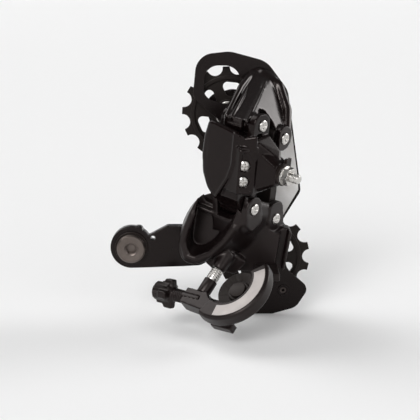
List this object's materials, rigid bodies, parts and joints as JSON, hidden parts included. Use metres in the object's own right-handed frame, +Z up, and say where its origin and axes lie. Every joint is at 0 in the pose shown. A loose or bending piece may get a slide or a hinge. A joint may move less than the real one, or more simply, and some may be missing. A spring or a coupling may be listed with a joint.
{
  "type": "rear derailleur",
  "caption": "Bicycle rear derailleur: slanted four-pin linkage on a mounting bolt, sprung pulley cage with two toothed wheels, and a cable wheel with a barrel adjuster.",
  "frame": {"origin": "on the mounting bolt's axis, where the outer face of the frame's hanger seats", "axes": "+Y inboard along the mounting bolt's thread, +Z up as the part stands, +X from the mounting bolt towards the cage"},
  "size_m": [0.1172, 0.0837, 0.1558],
  "materials": {
    "black_steel": "gloss",
    "satin_resin": "satin",
    "gloss_resin": "gloss",
    "inner_steel": "satin",
    "bolt_black": "satin",
    "zinc_steel": "satin",
    "spring_steel": "satin",
    "pulley_resin": "matte"
  },
  "bodies": {
    "mount": {"mounting_bolt": "bolt_black", "retaining_ring": "zinc_steel"},
    "bracket": {"hanger_plate": "black_steel", "bolt_collar": "zinc_steel", "hanger_rivets": "zinc_steel", "bracket_body": "satin_resin", "lower_outer_pin": "zinc_steel", "lower_inner_pin": "zinc_steel", "link_spring": "spring_steel", "direction_housing": "satin_resin", "direction_axle": "zinc_steel", "spacer_sleeve": "satin_resin", "housing_screw": "zinc_steel"},
    "outer_arm": {"outer_link": "gloss_resin", "upper_outer_pin": "zinc_steel", "clamp_bolt": "zinc_steel", "clamp_plate": "zinc_steel", "clamp_nut": "zinc_steel"},
    "inner_arm": {"inner_link": "inner_steel"},
    "carrier": {"plate_body": "gloss_resin", "upper_inner_pin": "zinc_steel", "cage_spring": "spring_steel"},
    "cage": {"outer_cage_plate": "black_steel", "inner_cage_plate": "black_steel", "cage_axle": "zinc_steel", "cage_stop_pin": "zinc_steel", "guide_bush": "zinc_steel", "tension_bush": "zinc_steel", "guide_dust_caps": "zinc_steel", "tension_dust_caps": "zinc_steel", "guide_bolt": "zinc_steel", "tension_bolt": "zinc_steel"},
    "guide_wheel": {"guide_pulley": "pulley_resin"},
    "tension_wheel": {"tension_pulley": "pulley_resin"},
    "cable_wheel": {"direction_pulley": "pulley_resin"},
    "barrel": {"barrel_adjuster": "satin_resin"},
    "low_screw": {"low_limit_screw": "zinc_steel"},
    "high_screw": {"high_limit_screw": "zinc_steel"}
  },
  "joints": [
    {"name": "bracket_pivot", "type": "hinge", "parent": "mount", "child": "bracket", "pos_m": [0, 0, 0], "axis": [0, -1, 0], "range_deg": [0, 35]},
    {"name": "link_swing", "type": "hinge", "parent": "bracket", "child": "outer_arm", "pos_m": [0.0699, -0.033, 0.028], "axis": [0.7669, -0.6209, -0.162], "range_deg": [-42, 0], "stiffness_Nm_per_rad": 0.5, "springref_deg": 68.75},
    {"name": "inner_swing", "type": "hinge", "parent": "bracket", "child": "inner_arm", "pos_m": [0.08306, -0.01433, 0.01871], "axis": [0.7669, -0.6209, -0.162], "range_deg": [-42, 0]},
    {"name": "carrier_swing", "type": "hinge", "parent": "outer_arm", "child": "carrier", "pos_m": [0.07366, -0.0406, 0.07493], "axis": [0.7669, -0.6209, -0.162], "range_deg": [0, 42]},
    {"name": "cage_turn", "type": "hinge", "parent": "carrier", "child": "cage", "pos_m": [0.0755, 0, 0.0854], "axis": [0, -1, 0], "range_deg": [0, 110], "stiffness_Nm_per_rad": 0.3, "springref_deg": -57.3},
    {"name": "guide_spin", "type": "hinge", "parent": "cage", "child": "guide_wheel", "pos_m": [0.0565, 0, 0.076], "axis": [0, -1, 0], "continuous": true},
    {"name": "tension_spin", "type": "hinge", "parent": "cage", "child": "tension_wheel", "pos_m": [0.0781, 0, -0.0098], "axis": [0, -1, 0], "continuous": true},
    {"name": "cable_wheel_spin", "type": "hinge", "parent": "bracket", "child": "cable_wheel", "pos_m": [0.06184, -0.04787, -0.01498], "axis": [-0.4211, -0.5174, 0.745], "continuous": true},
    {"name": "barrel_turn", "type": "hinge", "parent": "bracket", "child": "barrel", "pos_m": [0.01511, -0.0197, -0.02183], "axis": [0.7744, -0.6327, -0.0017], "continuous": true},
    {"name": "low_screw_turn", "type": "hinge", "parent": "outer_arm", "child": "low_screw", "pos_m": [0.06314, -0.04454, 0.04537], "axis": [0.1418, -0.9753, -0.1693], "continuous": true},
    {"name": "high_screw_turn", "type": "hinge", "parent": "outer_arm", "child": "high_screw", "pos_m": [0.06384, -0.04597, 0.05423], "axis": [0.1418, -0.9753, -0.1693], "continuous": true}
  ],
  "couplings": [
    {"joint": "inner_swing", "follows": "link_swing", "ratio": 1},
    {"joint": "carrier_swing", "follows": "link_swing", "ratio": -1}
  ]
}
